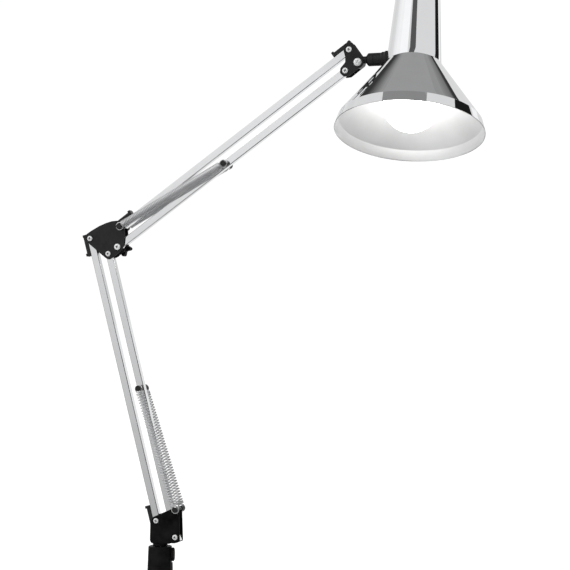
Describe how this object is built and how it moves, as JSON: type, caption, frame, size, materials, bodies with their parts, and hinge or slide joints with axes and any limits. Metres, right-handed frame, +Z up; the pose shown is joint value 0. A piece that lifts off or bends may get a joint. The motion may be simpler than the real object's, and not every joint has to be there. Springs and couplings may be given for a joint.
{
  "type": "swing-arm desk lamp",
  "caption": "Spring-balanced swing-arm desk lamp: parallel chromed tube arms on black pivot plates, chromed cone shade with bulb, on a table clamp.",
  "frame": {"origin": "centre of the upper clamp jaw's pad, on the face that rests on the table", "axes": "+Z up, the arms swing in the XZ plane with the head towards +X, -Y is the front with the screw heads"},
  "size_m": [0.4635, 0.1543, 0.8278],
  "materials": {
    "clamp_black": "black powder coat, fine texture",
    "rubber": "matt",
    "nylon": "natural nylon",
    "zinc_steel": "bright zinc plate",
    "bracket_black": "black semi-matt paint on sheet steel",
    "moulded_black": "moulded, satin",
    "tube_chrome": "chromed steel tube",
    "spring_steel": "nickel plated wire",
    "shade_chrome": "mirror chrome outside, satin inside",
    "holder_white": "white heat-resistant moulding",
    "brass": "plain",
    "bulb_frosted": "frosted white",
    "bulb_cap_metal": "rolled"
  },
  "bodies": {
    "clamp": {"clamp_body": "clamp_black", "jaw_pad": "rubber", "post_bush": "nylon"},
    "clamp_foot": {"clamp_foot": "zinc_steel", "foot_pad": "rubber"},
    "clamp_screw": {"clamp_spindle": "zinc_steel", "clamp_knob": "clamp_black"},
    "set_screw": {"thumb_screw": "zinc_steel", "thumb_knob": "clamp_black"},
    "base": {"base_bracket": "bracket_black", "base_post": "bracket_black", "base_pivot_screws": "zinc_steel", "base_nuts": "zinc_steel", "base_spring_pegs": "zinc_steel", "base_peg_caps": "moulded_black"},
    "lower_main": {"lower_main_tube": "tube_chrome", "lower_main_bushes": "nylon", "lower_anchor_pin": "zinc_steel", "lower_anchor_caps": "moulded_black", "lower_spring_front": "spring_steel", "lower_spring_back": "spring_steel"},
    "lower_link": {"lower_link_tube": "tube_chrome", "lower_link_bushes": "nylon", "lower_cord_guides": "moulded_black"},
    "elbow": {"elbow_plate_front": "bracket_black", "elbow_plate_back": "bracket_black", "elbow_pivot_screws": "zinc_steel", "elbow_nuts": "zinc_steel", "elbow_bolt": "zinc_steel", "elbow_spring_pin": "zinc_steel", "elbow_pin_caps": "moulded_black"},
    "elbow_knob": {"elbow_knob": "moulded_black"},
    "upper_main": {"upper_main_tube": "tube_chrome", "upper_main_bushes": "nylon", "upper_anchor_pin": "zinc_steel", "upper_anchor_caps": "moulded_black", "upper_spring_front": "spring_steel", "upper_spring_back": "spring_steel"},
    "upper_link": {"upper_link_tube": "tube_chrome", "upper_link_bushes": "nylon", "upper_cord_guides": "moulded_black"},
    "head_bracket": {"head_plate_front": "bracket_black", "head_plate_back": "bracket_black", "head_pivot_screws": "zinc_steel", "head_nuts": "zinc_steel", "head_bolt": "zinc_steel", "head_bolt_nut": "zinc_steel"},
    "knuckle": {"knuckle": "moulded_black", "neck_collar": "moulded_black", "neck_spindle": "zinc_steel", "neck_nut": "zinc_steel"},
    "shade": {"neck_sleeve": "moulded_black", "shade_shell": "shade_chrome", "lampholder": "holder_white", "holder_shell": "brass", "holder_nut": "zinc_steel", "bulb_glass": "bulb_frosted", "bulb_cap": "bulb_cap_metal", "cord_grommet": "moulded_black"},
    "switch": {"switch_knob": "moulded_black"}
  },
  "joints": [
    {"name": "clamp_travel", "type": "slide", "parent": "clamp", "child": "clamp_foot", "axis": [0, 0, 1], "range_m": [-0.0275, 0.03]},
    {"name": "clamp_turn", "type": "hinge", "parent": "clamp_foot", "child": "clamp_screw", "pos_m": [0, 0, -0.1], "axis": [0, 0, 1], "range_deg": [-3961, 4321]},
    {"name": "set_screw_turn", "type": "hinge", "parent": "clamp", "child": "set_screw", "pos_m": [0.01352, 0.00362, 0.0401], "axis": [0.9659, 0.2588, 0], "range_deg": [0, 360]},
    {"name": "base_swivel", "type": "hinge", "parent": "clamp", "child": "base", "pos_m": [0, 0, 0.035], "axis": [0, 0, 1], "continuous": true},
    {"name": "lower_lift", "type": "hinge", "parent": "base", "child": "lower_main", "pos_m": [0.0196, 0, 0.0604], "axis": [0, 1, 0], "range_deg": [-16, 70], "deforming": ["lower_spring_front", "lower_spring_back"]},
    {"name": "lower_link_pivot", "type": "hinge", "parent": "base", "child": "lower_link", "pos_m": [-0.0029, 0, 0.0779], "axis": [0, 1, 0], "range_deg": [-16, 70]},
    {"name": "elbow_level", "type": "hinge", "parent": "lower_main", "child": "elbow", "pos_m": [-0.06212, 0, 0.3764], "axis": [0, 1, 0], "range_deg": [-70, 16]},
    {"name": "elbow_knob_turn", "type": "hinge", "parent": "elbow", "child": "elbow_knob", "pos_m": [-0.05102, 0, 0.38405], "axis": [0, 1, 0], "range_deg": [0, 360]},
    {"name": "upper_lift", "type": "hinge", "parent": "elbow", "child": "upper_main", "pos_m": [-0.05102, 0, 0.38405], "axis": [0, 1, 0], "range_deg": [-18, 80], "deforming": ["upper_spring_front", "upper_spring_back"]},
    {"name": "upper_link_pivot", "type": "hinge", "parent": "elbow", "child": "upper_link", "pos_m": [-0.04692, 0, 0.40685], "axis": [0, 1, 0], "range_deg": [-18, 80]},
    {"name": "head_level", "type": "hinge", "parent": "upper_main", "child": "head_bracket", "pos_m": [0.21389, 0, 0.57163], "axis": [0, 1, 0], "range_deg": [-80, 18]},
    {"name": "head_tilt", "type": "hinge", "parent": "head_bracket", "child": "knuckle", "pos_m": [0.22759, 0, 0.58023], "axis": [0, 1, 0], "range_deg": [-44, 25]},
    {"name": "head_turn", "type": "hinge", "parent": "knuckle", "child": "shade", "pos_m": [0.24759, 0, 0.58323], "axis": [1, 0, 0], "range_deg": [-130, 160]},
    {"name": "switch_turn", "type": "hinge", "parent": "shade", "child": "switch", "pos_m": [0.28869, 0, 0.58323], "axis": [0, 0.289, 0.9573], "continuous": true}
  ],
  "couplings": [
    {"joint": "clamp_turn", "follows": "clamp_travel", "rad_per_m": 2513.3},
    {"joint": "lower_link_pivot", "follows": "lower_lift", "ratio": 1},
    {"joint": "elbow_level", "follows": "lower_lift", "ratio": -1},
    {"joint": "upper_link_pivot", "follows": "upper_lift", "ratio": 1},
    {"joint": "head_level", "follows": "upper_lift", "ratio": -1}
  ]
}
